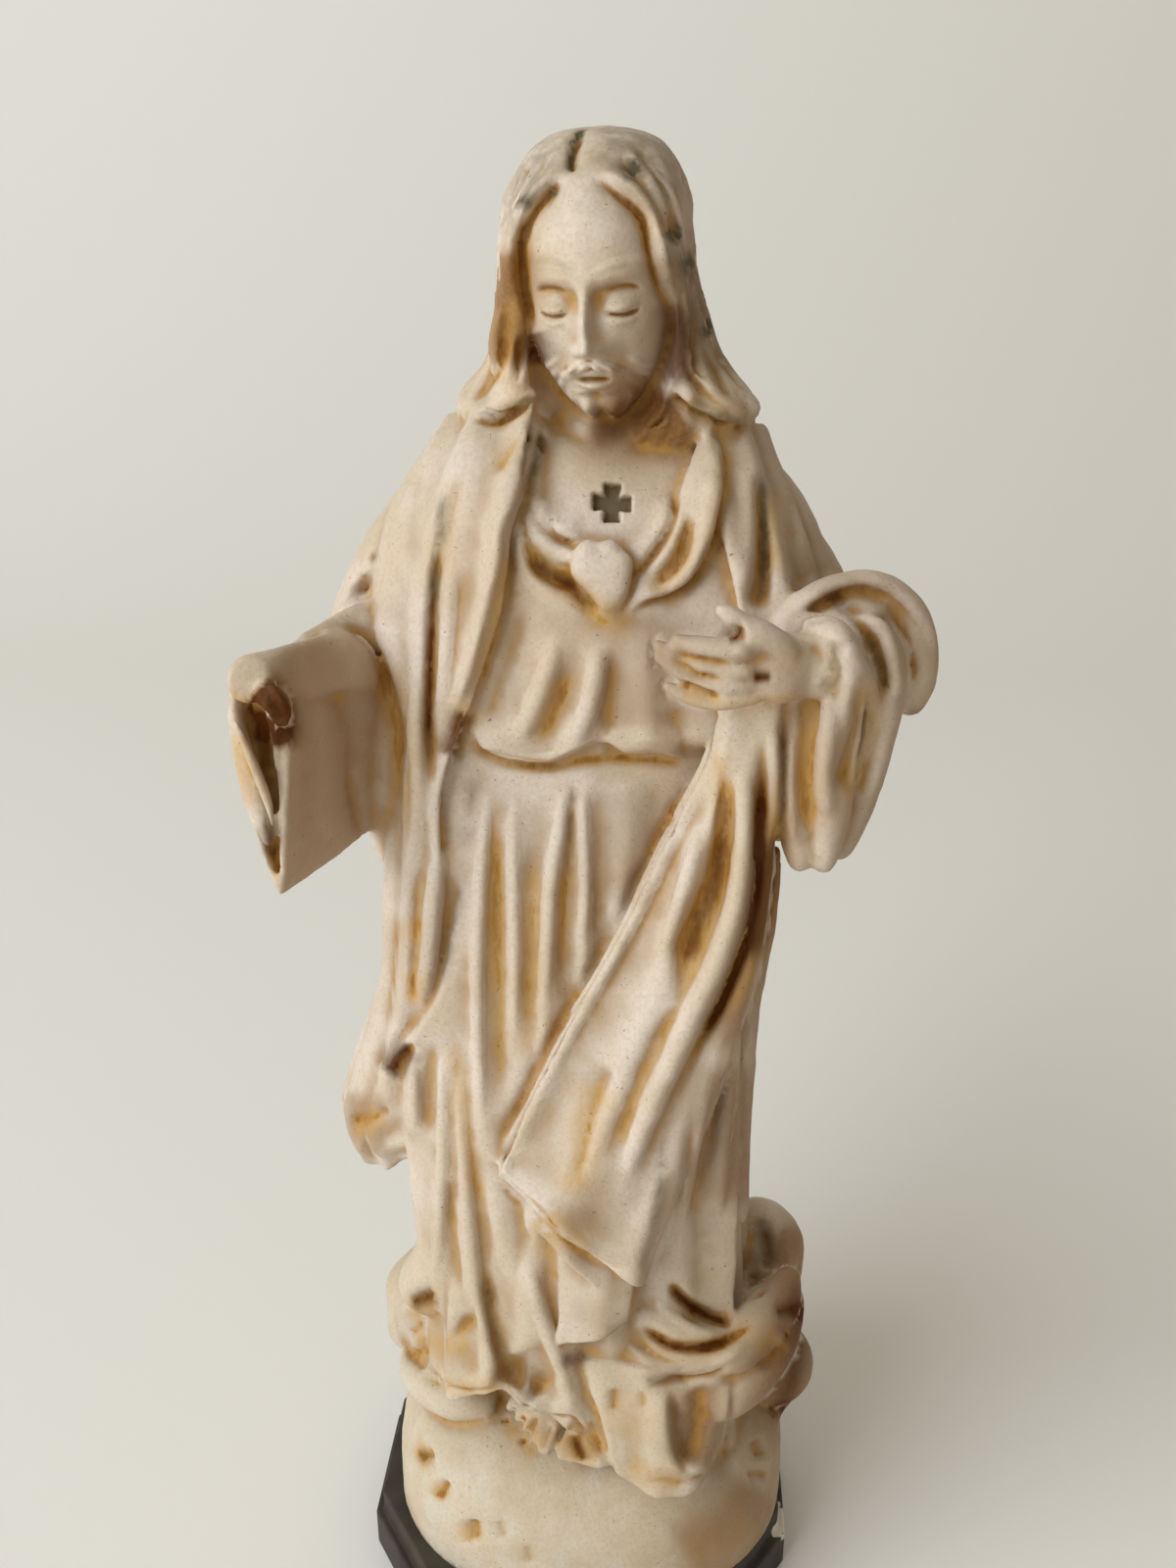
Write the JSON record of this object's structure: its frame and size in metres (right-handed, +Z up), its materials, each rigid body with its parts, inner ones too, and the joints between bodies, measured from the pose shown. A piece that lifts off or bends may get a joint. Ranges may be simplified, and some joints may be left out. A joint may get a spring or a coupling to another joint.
{
  "type": "sacred heart statue",
  "caption": "Cast plaster statue of a robed, bearded figure with a hand before its heart, its right hand broken off, on a mound of cloud and an octagonal plinth.",
  "frame": {"origin": "centre of the plinth's underside", "axes": "+Z up along the figure, the figure faces -Y, +X to the figure's left"},
  "size_m": [0.1403, 0.111, 0.354],
  "materials": {
    "statue": "aged cream paint on plaster",
    "plinth": "worn dark paint on plaster"
  },
  "bodies": {
    "root": {"statue": "statue", "plinth": "plinth"}
  },
  "joints": []
}
